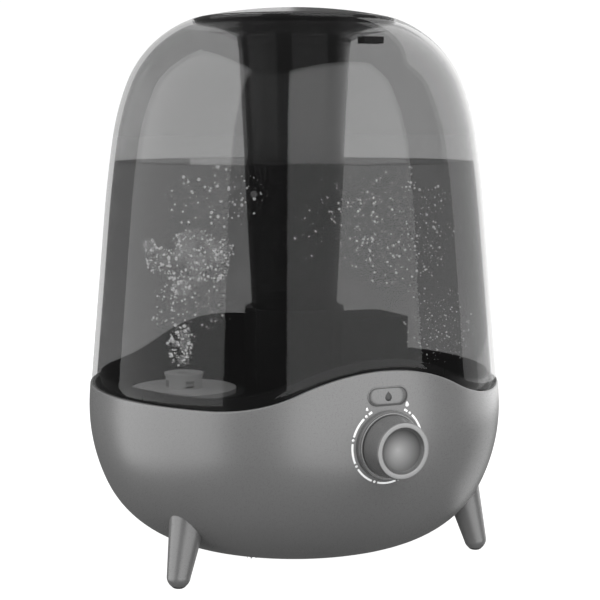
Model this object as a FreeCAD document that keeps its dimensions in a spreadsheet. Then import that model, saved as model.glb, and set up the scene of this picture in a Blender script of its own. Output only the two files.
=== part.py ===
import FreeCAD, Part
import math
import os
import re

import Sketcher

# Ultrasonic cool mist humidifier: a bowl-shaped base on three splayed legs, with a clear water tank
# that lifts off it. Millimetres. +Z is up, -Y is the front, where the control knob is. The origin is
# the point on the ground under the tank's axis.

DIMENSIONS = {
    # base bowl: widest ring, the two arcs of its side and the flat bottom
    "bowl_radius": 112.7, "bowl_widest_z": 81.6, "bowl_upper_arc": 138,
    "bowl_side_arc": 94.9, "bowl_turn_radius": 103.7, "bowl_turn_z": 41, "bowl_bottom_arc": 55.9,
    "bowl_flat_radius": 53.1, "bowl_bottom_z": 9, "bowl_wall": 2.8, "bowl_hatch_radius": 44,
    # rim that all the way round is low, and rises in a wave at the front and at the back
    "rim_z": 93.5, "rim_blend_radius": 112.1, "wave_foot_z": 95, "wave_crest_z": 114.5,
    "wave_half": 82, "wave_crest_arc": 99, "wave_valley_arc": 83.16, "rim_gap": 0.4, "pan_rim_lift": 5,
    # tank: drafted wall, then three arcs over the shoulder to the recess for the mist cover
    "tank_radius": 111.5, "tank_wall": 2.6, "wall_top_radius": 103.3, "wall_top_z": 185,
    "haunch_arc": 692, "haunch_radius": 98.4, "haunch_z": 225.7,
    "shoulder_arc": 143.7, "shoulder_radius": 90.6, "shoulder_z": 255.5,
    "crown_arc": 59.2, "crown_radius": 54.8, "crown_z": 290.3,
    "wall_lean": 5.15, "haunch_lean": 8.55, "shoulder_lean": 20.84, "crown_rim_lean": 66,
    "recess_edge_z": 288.2, "recess_knee_radius": 40, "recess_knee_z": 285.2,
    "recess_hole_radius": 31, "recess_hole_z": 281.4,
    # deck between base and tank, with its basins
    "deck_radius": 109, "deck_top_z": 88, "deck_thick": 2.5, "basin_floor_z": 68, "basin_wall": 2,
    "mist_basin_radius": 29, "cap_basin_radius": 33, "float_basin_radius": 13,
    "channel_half": 12, "cap_offset": 65, "float_offset": 38,
    "guard_radius": 23, "guard_top_z": 128, "guard_wall": 2, "guard_window": 14, "guard_window_z": 106,
    "guard_notch": 5,
    "tower_centre": 46, "tower_half_x": 11, "tower_half_y": 14, "tower_top_z": 116,
    "tower_flange": 1.2, "tower_flange_thick": 1.6,
    "deck_post_reach": 44, "deck_post_radius": 4, "deck_post_foot_z": 13.6,
    "deck_screw_seat_z": 11.2, "deck_screw_tip_z": 30, "transducer_port": 8.5,
    # tank pan
    "pan_radius": 107, "pan_wall": 2.2, "pan_floor": 2.4, "pocket_radius": 27, "pocket_top_z": 135,
    "pocket_box_x": 61, "pocket_box_half": 18.5, "pocket_box_top_z": 128, "pocket_wall": 2,
    "spigot_radius": 20.8, "spigot_bore": 18.8, "spigot_height": 6,
    "neck_radius": 31, "neck_bore": 28.3, "neck_foot_z": 80, "neck_lip_radius": 32.4, "neck_lip": 1.4,
    # mist chimney
    "chimney_foot_radius": 23.1, "chimney_head_radius": 30, "chimney_head_z": 275,
    "chimney_collar_radius": 30.6, "chimney_wall": 2,
    "catch_near_x": 40.5, "catch_far_x": 52.5, "catch_half": 4, "catch_foot_z": 278.6,
    # filling cap and valve
    "cap_radius": 28, "cap_face_z": 94, "cap_skirt_wall": 2.4, "cap_plate": 2, "cap_flange_radius": 31,
    "cap_flange_foot_z": 76.2, "cap_flange_z": 78.6, "nozzle_radius": 9.8, "nozzle_bore": 8.4,
    "nozzle_top_z": 102, "nozzle_lip_radius": 10.5, "nozzle_lip": 1.2, "seat_z": 90, "seat_foot_z": 88,
    "seat_bore": 5, "plunger_lift": 4, "plunger_radius": 7.4, "plunger_plate": 1.4, "stem_radius": 2,
    "valve_post_z": 72, "valve_post_radius": 2.6, "spring_radius": 5, "spring_wire": 0.7,
    "spring_turns": 2, "nozzle_outlet": 4,
    # mist cover
    "cover_radius": 54.2, "cover_edge_z": 290.4, "cover_crown_z": 295.9, "cover_arc": 269,
    "cover_skin": 2, "outlet_radius": 14, "outlet_lip_foot_z": 288, "funnel_radius": 53.6,
    "funnel_throat_radius": 27.6, "funnel_foot_radius": 26.8, "funnel_foot_z": 262, "funnel_wall": 1.8,
    # knob and what turns it
    "knob_z": 78, "knob_face_radius": 13.4, "knob_base_radius": 15.3, "knob_foot": 2.4,
    "knob_front": 15, "knob_rim": 2.3, "knob_dish": 3.2, "knob_dish_arc": 22, "knob_hollow_radius": 9,
    "knob_hollow": 7, "knob_round": 1.1, "shaft_radius": 3, "shaft_front": 10.5, "shaft_back": -9,
    "bezel_radius": 17.3, "bezel_front": 1.9, "bezel_bore": 6.6, "bush_radius": 3.6, "bush_front": 4,
    "bush_clearance": 0.05, "pot_half": 7, "pot_front": -4.6, "pot_back": -12.6,
    "nut_radius": 5.6, "nut_front": 2.3, "nut_back": 0.3, "bush_hole": 3.8,
    # badge
    "badge_z": 102.3, "badge_length": 22, "badge_height": 9.4, "badge_front": 112.1,
    # legs
    "leg_count": 3, "leg_circle": 100.7, "leg_splay": 15, "leg_tip_radius": 6.1, "leg_tip_z": 6,
    "leg_top_radius": 10.6, "leg_length": 40, "pad_radius": 3.9, "pad_height": 1.4, "pad_round": 0.5,
    "leg_screw_radius": 2, "leg_screw_head_radius": 3.6, "leg_screw_tip": 8, "leg_screw_seat": 30,
    "leg_screw_head": 3,
    # bottom cover, filter
    "hatch_radius": 50, "hatch_foot_z": 7.2, "hatch_rib_top_z": 14, "hatch_rib_wall": 2,
    "hatch_screw_circle": 47, "slot_length": 52, "slot_width": 3, "slot_pitch": 7, "slot_count": 7,
    "filter_radius": 41, "filter_foot_z": 10, "filter_top_z": 15,
    # fan and duct
    "fan_x": 52, "fan_half": 20, "fan_foot_z": 42, "fan_top_z": 57, "fan_bore": 18.4,
    "fan_hub": 9, "fan_blade_radius": 17.7, "fan_blades": 7, "fan_plate": 2, "fan_strut": 2.4,
    "spindle_radius": 1.5, "fan_hole_reach": 16.5, "duct_wall": 1.6, "fan_blade_pitch": 6,
    "fan_blade_half": 0.8,
    # transducer stack
    "disc_radius": 10, "disc_thick": 1.2, "gasket_radius": 12.6, "gasket_lip": 8.6,
    "gasket_foot_z": 62.8, "clamp_radius": 18, "clamp_bore": 9, "clamp_thick": 2,
    "transducer_screw_circle": 15.4,
    # float
    "float_radius": 10, "float_bore": 4.2, "float_foot_z": 69, "float_height": 9,
    "float_post_radius": 3.5, "float_post_top_z": 84.4, "clip_radius": 6, "clip_thick": 1.2,
    "sensor_half_x": 9, "sensor_half_y": 5, "sensor_thick": 3,
    # driver board
    "board_z": 24, "board_thick": 1.6, "board_half_x": 30, "board_near_y": 48, "board_far_y": 78,
    "standoff_x": 26, "standoff_near_y": 52, "standoff_far_y": 74, "standoff_radius": 2.8,
    "standoff_near_z": 12.8, "standoff_far_z": 19.86, "heatsink_fins": 5, "heatsink_pitch": 4,
    "sink_near_x": 2, "sink_far_x": 24, "sink_near_y": 56, "sink_far_y": 72, "sink_plate": 3,
    "sink_height": 14, "fin_thick": 1.4, "capacitor_x": 8, "capacitor_y": 58, "capacitor_radius": 5,
    "capacitor_height": 16, "transformer_near_x": 2, "transformer_far_x": 18,
    "transformer_near_y": 65, "transformer_far_y": 76, "transformer_height": 13,
    # cord gland
    "gland_z": 62, "gland_bore": 3.6, "gland_neck": 6, "gland_flange": 8.5,
    "gland_inner_y": 103, "gland_seat_y": 105.4, "gland_face_y": 112.6, "gland_outer_y": 115,
    # cuts that only have to run clear: through the bottom wall, through a side wall, right through
    "bottom_cut": 20, "side_cut_start": 90, "side_cut": 40, "clear_cut": 300,
    # small screws
    "screw_radius": 1.45, "screw_hole": 1.55, "screw_head_radius": 2.8, "screw_head": 1.8,
}

doc = FreeCAD.newDocument("humidifier")
sheet = doc.addObject("Spreadsheet::Sheet", "dims")
for row, (alias, number) in enumerate(DIMENSIONS.items(), start=1):
    sheet.set("A%d" % row, alias)
    sheet.set("B%d" % row, str(number))
    sheet.setAlias("B%d" % row, alias)
doc.recompute()

WORD = re.compile(r"[a-z][a-z0-9_]*")
NODES = {}


# ---------------------------------------------------------------- helpers

def bound(expression):
    """Write an expression of dimension names so that it points at the sheet."""
    return WORD.sub(lambda word: "dims." + word.group() if word.group() in DIMENSIONS else word.group(),
                    str(expression))


def size(expression):
    """The number that an expression of dimension names gives now."""
    return float(sheet.evalExpression(bound(expression)))


def keep(node, thing):
    """Name an object as a sub-part that is written out."""
    thing.Label = node
    NODES[node] = thing
    return thing


def place(thing, x=0, y=0, z=0, axis=(0, 0, 1), angle=0):
    """Put a sub-part's own frame at a place given by dimension names."""
    thing.Placement = FreeCAD.Placement(FreeCAD.Vector(size(x), size(y), size(z)),
                                        FreeCAD.Rotation(FreeCAD.Vector(*axis), size(angle)))
    for letter, expression in zip("xyz", (x, y, z)):
        thing.setExpression("Placement.Base." + letter, bound(expression))
    return thing


def new_body(name):
    return doc.addObject("PartDesign::Body", name)


def new_sketch(body, plane="XY_Plane", level=0):
    """A sketch on one of the body's own origin planes, lifted off it along its normal."""
    sketch = body.newObject("Sketcher::SketchObject", body.Name + "_sketch")
    support = [feature for feature in body.Origin.OriginFeatures if feature.Role == plane]
    sketch.AttachmentSupport = [(support[0], "")]
    sketch.MapMode = "FlatFace"
    sketch.setExpression("AttachmentOffset.Base.z", bound(level))
    return sketch


def hold_point(sketch, edge, end, x, y):
    """Fix one end of an edge at coordinates given by dimension names."""
    for kind, axis, expression in (("DistanceX", -2, x), ("DistanceY", -1, y)):
        number = size(expression)
        if abs(number) < 1e-9:
            sketch.addConstraint(Sketcher.Constraint("PointOnObject", edge, end, axis))
        elif number > 0:
            index = sketch.addConstraint(Sketcher.Constraint(kind, -1, 1, edge, end, number))
            sketch.setExpression("Constraints[%d]" % index, bound(expression))
        else:
            index = sketch.addConstraint(Sketcher.Constraint(kind, edge, end, -1, 1, -number))
            sketch.setExpression("Constraints[%d]" % index, bound("-(%s)" % expression))


def draw_outline(sketch, corners):
    """Closed outline. A corner is (x, y), or (x, y, radius, side) where an arc leaves it, bulging to
    the left (+1) or the right (-1) of the way the outline runs."""
    starts = []
    ends = []
    for number, corner in enumerate(corners):
        following = corners[(number + 1) % len(corners)]
        first = FreeCAD.Vector(size(corner[0]), size(corner[1]), 0)
        last = FreeCAD.Vector(size(following[0]), size(following[1]), 0)
        if len(corner) == 2:
            edge = sketch.addGeometry(Part.LineSegment(first, last), False)
            starts.append((edge, 1))
            ends.append((edge, 2))
            continue
        radius = size(corner[2])
        chord = last - first
        left = FreeCAD.Vector(-chord.y, chord.x, 0).normalize()
        reach = math.sqrt(radius ** 2 - (chord.Length / 2) ** 2)
        centre = (first + last) * 0.5 - left * reach * corner[3]
        angles = [math.atan2(point.y - centre.y, point.x - centre.x) for point in (first, last)]
        if corner[3] > 0:
            angles.reverse()
        circle = Part.Circle(centre, FreeCAD.Vector(0, 0, 1), radius)
        edge = sketch.addGeometry(Part.ArcOfCircle(circle, *angles), False)
        index = sketch.addConstraint(Sketcher.Constraint("Radius", edge, radius))
        sketch.setExpression("Constraints[%d]" % index, bound(corner[2]))
        starts.append((edge, 2 if corner[3] > 0 else 1))
        ends.append((edge, 1 if corner[3] > 0 else 2))
    for number, corner in enumerate(corners):
        sketch.addConstraint(Sketcher.Constraint("Coincident", *ends[number - 1], *starts[number]))
        hold_point(sketch, *starts[number], corner[0], corner[1])


def draw_circle(sketch, x, y, radius):
    circle = Part.Circle(FreeCAD.Vector(size(x), size(y), 0), FreeCAD.Vector(0, 0, 1), size(radius))
    edge = sketch.addGeometry(circle, False)
    index = sketch.addConstraint(Sketcher.Constraint("Radius", edge, size(radius)))
    sketch.setExpression("Constraints[%d]" % index, bound(radius))
    hold_point(sketch, edge, 3, x, y)


def box_corners(x0, y0, x1, y1):
    return [(x0, y0), (x1, y0), (x1, y1), (x0, y1)]


def revolve(body, corners):
    """Turn an outline of (radius, height) corners about the body's Z axis."""
    sketch = new_sketch(body, "XZ_Plane")
    draw_outline(sketch, corners)
    feature = body.newObject("PartDesign::Revolution", body.Name + "_turned")
    feature.Profile = sketch
    feature.ReferenceAxis = (sketch, ["V_Axis"])
    feature.Angle = 360
    doc.recompute()
    return feature


def extrude(body, kind, sketch, length, both_ways=False, down=False):
    """Pad or pocket a sketch by a length, and check that a pocket really cuts."""
    before = body.Shape.Volume if body.Tip else 0
    feature = body.newObject("PartDesign::" + kind, body.Name + "_" + kind.lower())
    feature.Profile = sketch
    feature.setExpression("Length", bound(length))
    feature.Reversed = down
    if both_ways:
        feature.SideType = "Symmetric"
    doc.recompute()
    if kind == "Pocket" and abs(body.Shape.Volume - before) < 1e-6:
        raise RuntimeError("a pocket of %s cuts nothing" % body.Name)
    return feature


def pad_outline(body, corners, foot, height, plane="XY_Plane", both_ways=False):
    sketch = new_sketch(body, plane, foot)
    draw_outline(sketch, corners)
    return extrude(body, "Pad", sketch, height, both_ways)


def pad_circle(body, x, y, radius, foot, height):
    sketch = new_sketch(body, "XY_Plane", foot)
    draw_circle(sketch, x, y, radius)
    return extrude(body, "Pad", sketch, height)


def cut_outline(body, corners, foot, height, plane="XY_Plane", both_ways=False):
    """Cut an outline upwards from a level, or both ways from its plane."""
    sketch = new_sketch(body, plane, foot)
    draw_outline(sketch, corners)
    return extrude(body, "Pocket", sketch, height, both_ways, down=not both_ways)


def cut_circle(body, x, y, radius, foot, height):
    sketch = new_sketch(body, "XY_Plane", foot)
    draw_circle(sketch, x, y, radius)
    return extrude(body, "Pocket", sketch, height, down=True)


def axis_of(body, role="Z_Axis"):
    return [feature for feature in body.Origin.OriginFeatures if feature.Role == role][0]


def repeat_round(body, feature, count):
    """Repeat a feature round the body's Z axis."""
    pattern = body.newObject("PartDesign::PolarPattern", body.Name + "_round")
    pattern.Originals = [feature]
    pattern.Axis = (axis_of(body), [""])
    pattern.Angle = 360
    pattern.setExpression("Occurrences", bound(count))
    body.Tip = pattern
    doc.recompute()
    return pattern


def hollow(body, wall, open_heights):
    """Turn a solid into a skin, inwards, open at its flat faces at the given heights."""
    heights = [size(height) for height in open_heights]
    solid = body.Tip
    faces = []
    for number, face in enumerate(solid.Shape.Faces, start=1):
        box = face.BoundBox
        if box.ZLength < 1e-6 and any(abs(box.ZMin - height) < 1e-6 for height in heights):
            faces.append("Face%d" % number)
    feature = body.newObject("PartDesign::Thickness", body.Name + "_skin")
    feature.Base = (solid, faces)
    feature.Join = "Intersection"
    feature.Reversed = True
    feature.setExpression("Value", bound(wall))
    doc.recompute()
    return feature


def cylinder(name, radius, height, x=0, y=0, z=0):
    thing = doc.addObject("Part::Cylinder", name)
    thing.setExpression("Radius", bound(radius))
    thing.setExpression("Height", bound(height))
    place(thing, x, y, z)
    return thing


def cut_by(base, tool, name):
    cut = doc.addObject("Part::Cut", name)
    cut.Base = base
    cut.Tool = tool
    doc.recompute()
    return cut


def group_of(name, members):
    """Several separate solids that share one node."""
    group = doc.addObject("Part::Compound", name)
    group.Links = members
    doc.recompute()
    return group


def ring(node, inner, outer, foot, top, x=0, y=0):
    """A plain ring or disc about a vertical axis."""
    body = new_body(node)
    if str(inner) == "0":
        pad_circle(body, 0, 0, outer, foot, "%s - (%s)" % (top, foot))
    else:
        revolve(body, [(inner, foot), (outer, foot), (outer, top), (inner, top)])
    place(body, x, y, 0)
    return keep(node, body)


def block(node, x0, x1, y0, y1, z0, z1):
    body = new_body(node)
    pad_outline(body, box_corners(x0, y0, x1, y1), z0, "(%s) - (%s)" % (z1, z0))
    return keep(node, body)


def screw(name, x, y, seat_z, tip_z, up):
    """A pan-head screw on a vertical axis; up is +1 where its tip points up."""
    body = new_body(name)
    length = "abs((%s) - (%s))" % (tip_z, seat_z)
    revolve(body, [(0, "-screw_head"), ("screw_head_radius", "-screw_head"), ("screw_head_radius", 0),
                   ("screw_radius", 0), ("screw_radius", length), (0, length)])
    if up > 0:
        place(body, x, y, seat_z)
    else:
        place(body, x, y, seat_z, axis=(1, 0, 0), angle=180)
    return body


def wave(lift, z_far):
    """Outline in the XZ plane, bounded by the rim wave and by a level above or below it."""
    low = "wave_foot_z + (%s)" % lift
    crest = "wave_crest_z + (%s)" % lift
    share = "wave_crest_arc / (wave_crest_arc + wave_valley_arc)"
    turn_x = "wave_half * " + share
    turn_z = "%s - (wave_crest_z - wave_foot_z) * %s" % (crest, share)
    return [(-130, low), ("-wave_half", low, "wave_valley_arc", -1),
            ("-" + turn_x, turn_z, "wave_crest_arc", 1), (0, crest, "wave_crest_arc", 1),
            (turn_x, turn_z, "wave_valley_arc", -1), ("wave_half", low),
            (130, low), (130, z_far), (-130, z_far)]


def cut_wave(body, lift, z_far):
    return cut_outline(body, wave(lift, z_far), 0, 300, "XZ_Plane", both_ways=True)


# ---------------------------------------------------------------- base

TANK_SLOPE = "((tank_radius - wall_top_radius) / (wall_top_z - rim_z))"
BLANK_TOP = "wave_crest_z + 4"


def bowl_corners():
    """Outer outline of the bowl, filled, up to a flat blank above the wave."""
    return [(0, "bowl_bottom_z"), ("bowl_flat_radius", "bowl_bottom_z", "bowl_bottom_arc", -1),
            ("bowl_turn_radius", "bowl_turn_z", "bowl_side_arc", -1),
            ("bowl_radius", "bowl_widest_z", "bowl_upper_arc", -1), ("rim_blend_radius", "rim_z"),
            ("rim_blend_radius - (wave_crest_z + 4 - rim_z) * " + TANK_SLOPE, BLANK_TOP), (0, BLANK_TOP)]


def bowl_form():
    """The bowl as a filled solid, which trims what is fastened on its outside."""
    body = new_body("bowl_form")
    revolve(body, bowl_corners())
    return body


def leg_frame(thing, angle):
    """Put a piece whose own Z axis runs up a leg at the leg's tip, splayed and turned round Z."""
    splay = FreeCAD.Rotation(FreeCAD.Vector(1, 0, 0), -size("leg_splay"))
    turn = FreeCAD.Rotation(FreeCAD.Vector(0, 0, 1), angle)
    centre = turn.multVec(FreeCAD.Vector(0, -size("leg_circle"), size("leg_tip_z")))
    thing.Placement = FreeCAD.Placement(centre, turn.multiply(splay))
    return thing


def deck_posts():
    """Places of the four posts that carry the deck."""
    return [("%d * deck_post_reach" % side_x, "%d * deck_post_reach" % side_y)
            for side_x in (-1, 1) for side_y in (-1, 1)]


def base_shell():
    body = new_body("base_shell_body")
    revolve(body, bowl_corners())
    hollow(body, "bowl_wall", [BLANK_TOP])
    cut_wave(body, 0, "rim_z + 60")
    cut_circle(body, 0, 0, "bowl_hatch_radius", 0, "bottom_cut")
    knob_hole = new_sketch(body, "XZ_Plane", "side_cut_start")
    draw_circle(knob_hole, 0, "knob_z", "bush_hole")
    extrude(body, "Pocket", knob_hole, "side_cut", down=True)
    gland_hole = new_sketch(body, "XZ_Plane", "-side_cut_start")
    draw_circle(gland_hole, 0, "gland_z", "gland_neck + 0.1")
    extrude(body, "Pocket", gland_hole, "side_cut")
    hatch_hole = cut_circle(body, 0, "hatch_screw_circle", "screw_hole", 0, "bottom_cut")
    repeat_round(body, hatch_hole, 3)
    for x, y in deck_posts():
        cut_circle(body, x, y, "screw_hole", 0, "bottom_cut")
        cut_circle(body, x, y, "screw_head_radius + 0.2", 0, "deck_screw_seat_z")
    bores = []
    for number, angle in enumerate(LEG_ANGLES.values()):
        bore = new_body("leg_bore_%d" % number)
        pad_circle(bore, 0, 0, "leg_screw_radius + 0.2", "leg_screw_tip", "leg_screw_seat")
        bores.append(leg_frame(bore, angle))
    keep("base_shell", cut_by(body, group_of("leg_bores", bores), "base_shell"))


def leg_trim(form):
    """Bowl and ground slab in one, which trim a leg's top and tip."""
    slab = cylinder("ground_slab", "clear_cut / 2", "bottom_cut + pad_height", 0, 0, "-bottom_cut")
    both = doc.addObject("Part::Fuse", "leg_trim")
    both.Base = form
    both.Tool = slab
    doc.recompute()
    return both


def leg(node, angle, trim):
    body = new_body(node + "_blank")
    revolve(body, [(0, "-leg_tip_radius", "leg_tip_radius", -1), ("leg_tip_radius", 0),
                   ("leg_top_radius", "leg_length"), (0, "leg_length")])
    cut_circle(body, 0, 0, "leg_screw_radius + 0.05", "leg_screw_tip - 1", "leg_length")
    leg_frame(body, angle)
    keep(node, cut_by(body, trim, node))


def foot_pad(node, angle):
    """Rubber pad under a leg's tip, with its foot flat on the ground."""
    body = new_body(node)
    revolve(body, [(0, 0), ("pad_radius - pad_round", 0, "pad_round", -1), ("pad_radius", "pad_round"),
                   ("pad_radius", "pad_height"), (0, "pad_height")])
    turn = FreeCAD.Rotation(FreeCAD.Vector(0, 0, 1), angle)
    body.Placement = FreeCAD.Placement(turn.multVec(FreeCAD.Vector(0, -size("leg_circle"), 0)), turn)
    keep(node, body)


def leg_screws():
    members = []
    for number, angle in enumerate(LEG_ANGLES.values()):
        body = new_body("leg_screw_%d" % number)
        revolve(body, [(0, "leg_screw_tip"), ("leg_screw_radius", "leg_screw_tip"),
                       ("leg_screw_radius", "leg_screw_seat"),
                       ("leg_screw_head_radius", "leg_screw_seat"),
                       ("leg_screw_head_radius", "leg_screw_seat + leg_screw_head"),
                       (0, "leg_screw_seat + leg_screw_head")])
        members.append(leg_frame(body, angle))
    keep("leg_screws", group_of("leg_screws", members))


def bottom_cover():
    body = new_body("bottom_cover")
    rib = "bowl_hatch_radius - 0.3"
    revolve(body, [(0, "hatch_foot_z"), ("hatch_radius", "hatch_foot_z"),
                   ("hatch_radius", "bowl_bottom_z"), (rib, "bowl_bottom_z"), (rib, "hatch_rib_top_z"),
                   (rib + " - hatch_rib_wall", "hatch_rib_top_z"),
                   (rib + " - hatch_rib_wall", "bowl_bottom_z"), (0, "bowl_bottom_z")])
    half_run = "slot_pitch * (slot_count - 1) / 2"
    slot = cut_outline(body, box_corners("-slot_length / 2", "-(%s) - slot_width / 2" % half_run,
                                         "slot_length / 2", "-(%s) + slot_width / 2" % half_run),
                       0, "bottom_cut")
    row = body.newObject("PartDesign::LinearPattern", "bottom_cover_slots")
    row.Originals = [slot]
    row.Direction = (axis_of(body, "Y_Axis"), [""])
    row.setExpression("Length", bound("slot_pitch * (slot_count - 1)"))
    row.setExpression("Occurrences", bound("slot_count"))
    body.Tip = row
    doc.recompute()
    hole = cut_circle(body, 0, "hatch_screw_circle", "screw_hole", 0, 20)
    repeat_round(body, hole, 3)
    keep("bottom_cover", body)
    members = []
    for number in range(3):
        turn = "%d" % (90 + 120 * number)
        x = "hatch_screw_circle * cos(%s)" % turn
        y = "hatch_screw_circle * sin(%s)" % turn
        members.append(screw("cover_screw_%d" % number, x, y, "hatch_foot_z", "bowl_bottom_z + 4", 1))
    keep("cover_screws", group_of("cover_screws", members))
    ring("intake_filter", 0, "filter_radius", "filter_foot_z", "filter_top_z")


def base_deck():
    body = new_body("base_deck")
    floor = "basin_floor_z - basin_wall"
    plate = "deck_top_z - deck_thick"
    pad_circle(body, 0, 0, "deck_radius", plate, "deck_thick")
    basins = [(0, 0, "mist_basin_radius"), ("-cap_offset", 0, "cap_basin_radius"),
              (0, "float_offset", "float_basin_radius")]
    for x, y, radius in basins:
        pad_circle(body, x, y, radius + " + basin_wall", floor, "%s - (%s) + 0.5" % (plate, floor))
    for x, y in deck_posts():
        pad_circle(body, x, y, "deck_post_radius", "deck_post_foot_z",
                   "%s - deck_post_foot_z + 0.5" % plate)
    for x, y, radius in basins:
        cut_circle(body, x, y, radius, "basin_floor_z", "clear_cut")
    cut_outline(body, box_corners("-cap_offset", "-channel_half", 0, "channel_half"),
                "basin_floor_z", "clear_cut")
    cut_outline(body, tower_corners("duct_wall"), plate + " - 1", "deck_thick + 2")
    cut_circle(body, 0, 0, "transducer_port", 0, "clear_cut")
    for x, y in deck_posts():
        cut_circle(body, x, y, "screw_radius", 0, "deck_screw_tip_z + 2")
    pad_circle(body, "-cap_offset", 0, "valve_post_radius", floor, "valve_post_z - (%s)" % floor)
    pad_circle(body, 0, "float_offset", "float_post_radius", floor,
               "float_post_top_z - (%s)" % floor)
    keep("base_deck", body)
    members = []
    for x, y in deck_posts():
        members.append(screw("deck_screw_%d" % len(members), x, y, "deck_screw_seat_z",
                             "deck_screw_tip_z", 1))
    keep("deck_screws", group_of("deck_screws", members))


def tower_corners(inset):
    """Outline of the air tower, drawn in by an inset."""
    reach_x = "(tower_half_x - (%s))" % inset
    reach_y = "(tower_half_y - (%s))" % inset
    return box_corners("tower_centre - " + reach_x, "-" + reach_y, "tower_centre + " + reach_x, reach_y)


def air_tower():
    """Square tube on the deck that carries the fan's air up into the tank's pocket."""
    body = new_body("air_tower")
    pad_outline(body, tower_corners("-tower_flange"), "deck_top_z", "tower_flange_thick")
    pad_outline(body, tower_corners(0), "deck_top_z", "tower_top_z - deck_top_z")
    cut_outline(body, tower_corners("duct_wall"), "deck_top_z - 1", "tower_top_z - deck_top_z + 2")
    keep("air_tower", body)


def splash_guard():
    """Tube round the mist column, with an air window and water notches at its foot."""
    body = new_body("splash_guard")
    revolve(body, [("guard_radius - guard_wall", "basin_floor_z"), ("guard_radius", "basin_floor_z"),
                   ("guard_radius", "guard_top_z"), ("guard_radius - guard_wall", "guard_top_z")])
    cut_outline(body, box_corners(0, "-guard_window / 2", "guard_radius + 1", "guard_window / 2"),
                "guard_window_z", "guard_window")
    notch = cut_outline(body, box_corners(0, "-guard_notch", "guard_radius + 1", "guard_notch"),
                        "basin_floor_z", "guard_notch")
    repeat_round(body, notch, 4)
    keep("splash_guard", body)


def transducer():
    floor = "basin_floor_z - basin_wall"
    ring("transducer_disc", 0, "disc_radius", "gasket_foot_z + 1", "gasket_foot_z + 1 + disc_thick")
    body = new_body("transducer_gasket")
    revolve(body, [("gasket_lip", "gasket_foot_z"), ("gasket_radius", "gasket_foot_z"),
                   ("gasket_radius", floor), ("gasket_lip", floor),
                   ("gasket_lip", "gasket_foot_z + 1 + disc_thick"),
                   ("disc_radius", "gasket_foot_z + 1 + disc_thick"),
                   ("disc_radius", "gasket_foot_z + 1"), ("gasket_lip", "gasket_foot_z + 1")])
    keep("transducer_gasket", body)
    clamp = new_body("transducer_clamp")
    foot = "gasket_foot_z - clamp_thick"
    revolve(clamp, [("clamp_bore", foot), ("clamp_radius", foot), ("clamp_radius", floor),
                    ("gasket_radius", floor), ("gasket_radius", "gasket_foot_z"),
                    ("clamp_bore", "gasket_foot_z")])
    hole = cut_circle(clamp, 0, "transducer_screw_circle", "screw_radius", 0, "clear_cut")
    repeat_round(clamp, hole, 3)
    keep("transducer_clamp", clamp)
    members = []
    for number in range(3):
        turn = "%d" % (90 + 120 * number)
        members.append(screw("transducer_screw_%d" % number,
                             "transducer_screw_circle * cos(%s)" % turn,
                             "transducer_screw_circle * sin(%s)" % turn, foot, floor, 1))
    keep("transducer_screws", group_of("transducer_screws", members))


def water_float():
    ring("float_ring", "float_bore", "float_radius", "float_foot_z", "float_foot_z + float_height",
         0, "float_offset")
    ring("float_clip", 0, "clip_radius", "float_post_top_z", "float_post_top_z + clip_thick",
         0, "float_offset")
    floor = "basin_floor_z - basin_wall"
    block("float_sensor", "-sensor_half_x", "sensor_half_x", "float_offset - sensor_half_y",
          "float_offset + sensor_half_y", floor + " - sensor_thick", floor)


def fan():
    frame = new_body("fan_frame")
    pad_outline(frame, box_corners("-fan_half", "-fan_half", "fan_half", "fan_half"), "fan_foot_z",
                "fan_top_z - fan_foot_z")
    cut_circle(frame, 0, 0, "fan_bore", 0, "clear_cut")
    pad_circle(frame, 0, 0, "fan_hub", "fan_foot_z", "fan_plate")
    strut = pad_outline(frame, box_corners(0, "-fan_strut / 2", "fan_bore + 1", "fan_strut / 2"),
                        "fan_foot_z", "fan_plate")
    repeat_round(frame, strut, 3)
    cut_circle(frame, 0, 0, "spindle_radius + bush_clearance", 0, "clear_cut")
    hole = cut_circle(frame, "fan_hole_reach", "fan_hole_reach", "screw_hole", 0, "clear_cut")
    repeat_round(frame, hole, 4)
    place(frame, "fan_x", 0, 0)
    keep("fan_frame", frame)
    wheel = new_body("fan_impeller")
    foot = "fan_foot_z + fan_plate + 0.5"
    top = "fan_top_z - 1"
    revolve(wheel, [(0, "fan_foot_z + 0.3"), ("spindle_radius", "fan_foot_z + 0.3"),
                    ("spindle_radius", foot), ("fan_hub", foot), ("fan_hub", top), (0, top)])
    blade_foot = "fan_foot_z + fan_plate + 2"
    blade_top = "fan_top_z - 2.5"
    blade = pad_outline(wheel, [("-fan_blade_pitch / 2 - fan_blade_half", blade_foot),
                                ("-fan_blade_pitch / 2 + fan_blade_half", blade_foot),
                                ("fan_blade_pitch / 2 + fan_blade_half", blade_top),
                                ("fan_blade_pitch / 2 - fan_blade_half", blade_top)],
                        "fan_hub - 1.5", "fan_blade_radius - 1 - (fan_hub - 1.5)", "YZ_Plane")
    repeat_round(wheel, blade, "fan_blades")
    place(wheel, "fan_x", 0, 0)
    keep("fan_impeller", wheel)
    members = []
    for side_x in (-1, 1):
        for side_y in (-1, 1):
            members.append(screw("fan_screw_%d" % len(members),
                                 "fan_x + %d * fan_hole_reach" % side_x,
                                 "%d * fan_hole_reach" % side_y, "fan_foot_z", "fan_top_z", 1))
    keep("fan_screws", group_of("fan_screws", members))


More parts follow.
